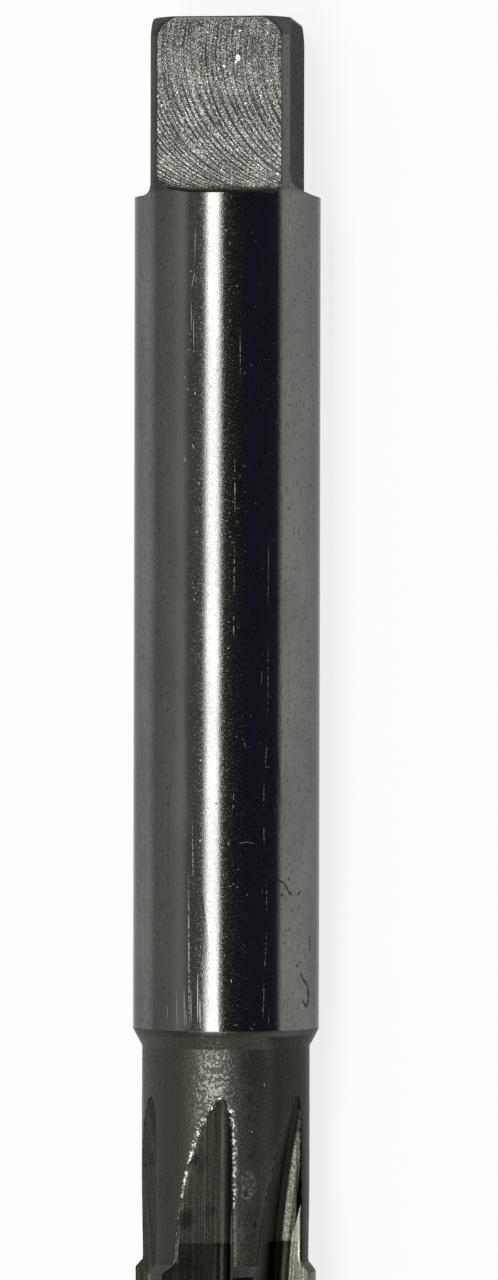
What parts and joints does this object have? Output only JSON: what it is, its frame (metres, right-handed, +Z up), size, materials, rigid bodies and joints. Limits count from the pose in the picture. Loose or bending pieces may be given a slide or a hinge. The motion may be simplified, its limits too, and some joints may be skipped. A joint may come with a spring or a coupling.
{
  "type": "hand reamer",
  "caption": "Straight-flute hand reamer in the 3/8 inch size, with a round shank, a reduced neck and a square end to turn it by.",
  "frame": {"origin": "on the tool's axis, in the plane where the square meets the round shank", "axes": "+Y along the axis towards the square, +Z up with the tool lying at rest on the edges beside its lowest flute, +X across"},
  "size_m": [0.0096, 0.1266, 0.0094],
  "materials": {
    "ground_steel": "hardened tool steel: ground bright on the shank, milled on the square, dull grey on the neck and in the flutes"
  },
  "bodies": {
    "root": {"hand_reamer": "ground_steel"}
  },
  "joints": []
}
